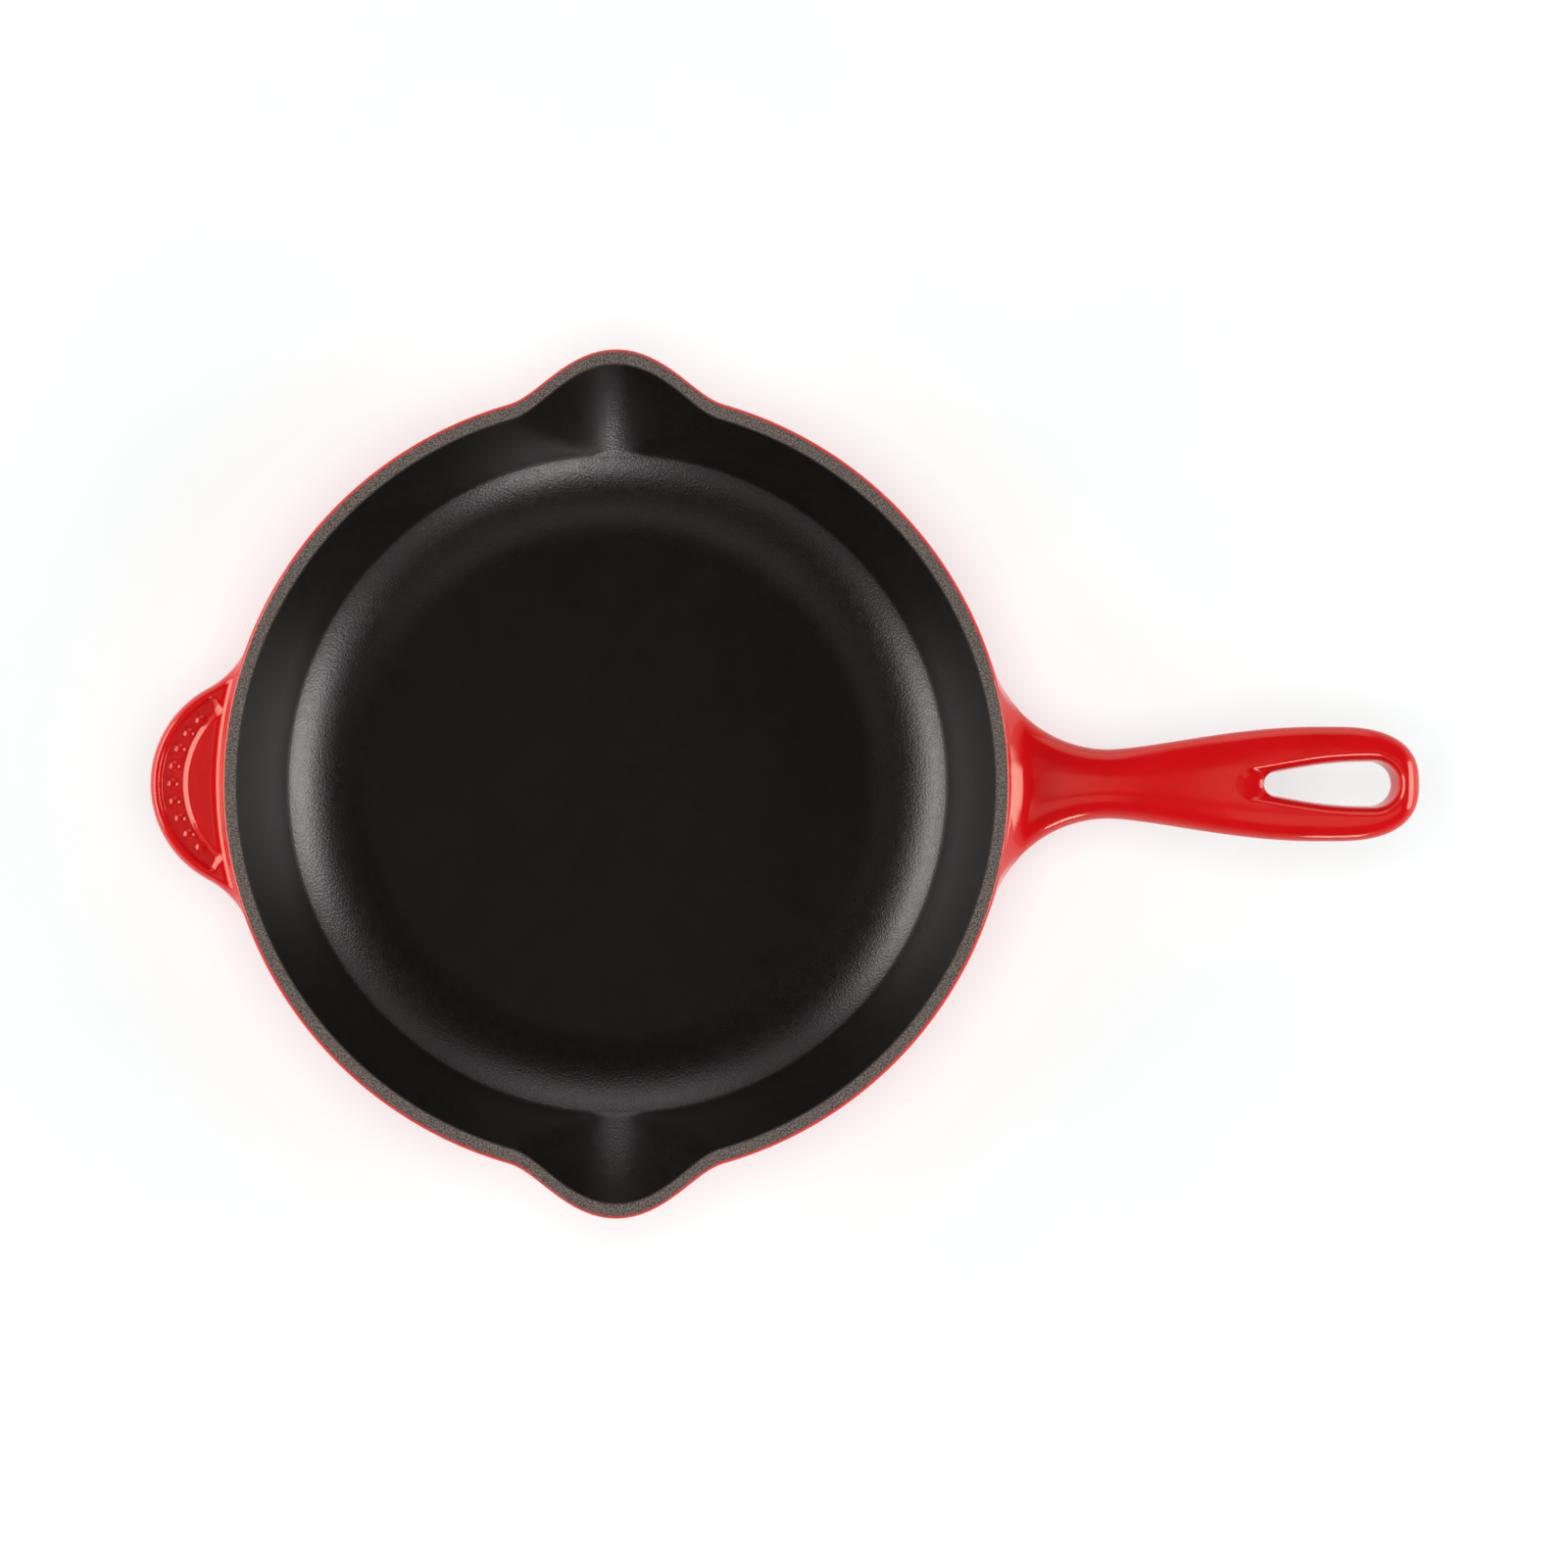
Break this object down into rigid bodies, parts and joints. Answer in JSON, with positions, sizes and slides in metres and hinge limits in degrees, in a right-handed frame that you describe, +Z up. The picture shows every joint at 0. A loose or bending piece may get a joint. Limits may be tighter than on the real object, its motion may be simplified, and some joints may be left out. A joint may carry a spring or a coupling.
{
  "type": "cast iron skillet",
  "caption": "Enamelled cast iron skillet: flat floor, flared wall with opposite pouring lips, long handle with a teardrop hanging hole, and a half-round helper handle.",
  "frame": {"origin": "middle of the flat base, on the surface that the skillet stands on", "axes": "+X towards the end of the long handle, +Z up, +Y towards one pouring lip"},
  "size_m": [0.418, 0.2864, 0.0607],
  "materials": {
    "cast_iron": "grey iron as cast and shot-blasted, hidden under the enamel",
    "red_enamel": "glossy bright red vitreous enamel",
    "black_enamel": "satin black enamel with a fine orange-peel texture",
    "rim_enamel": "matt grey-brown speckled ground coat enamel",
    "base_enamel": "satin black enamel on the flat base"
  },
  "bodies": {
    "root": {"pan_casting": "cast_iron", "long_handle_casting": "cast_iron", "helper_handle_casting": "cast_iron", "pan_outside_enamel": "red_enamel", "long_handle_enamel": "red_enamel", "helper_handle_enamel": "red_enamel", "cooking_surface_enamel": "black_enamel", "rim_enamel": "rim_enamel", "base_enamel": "base_enamel"}
  },
  "joints": []
}
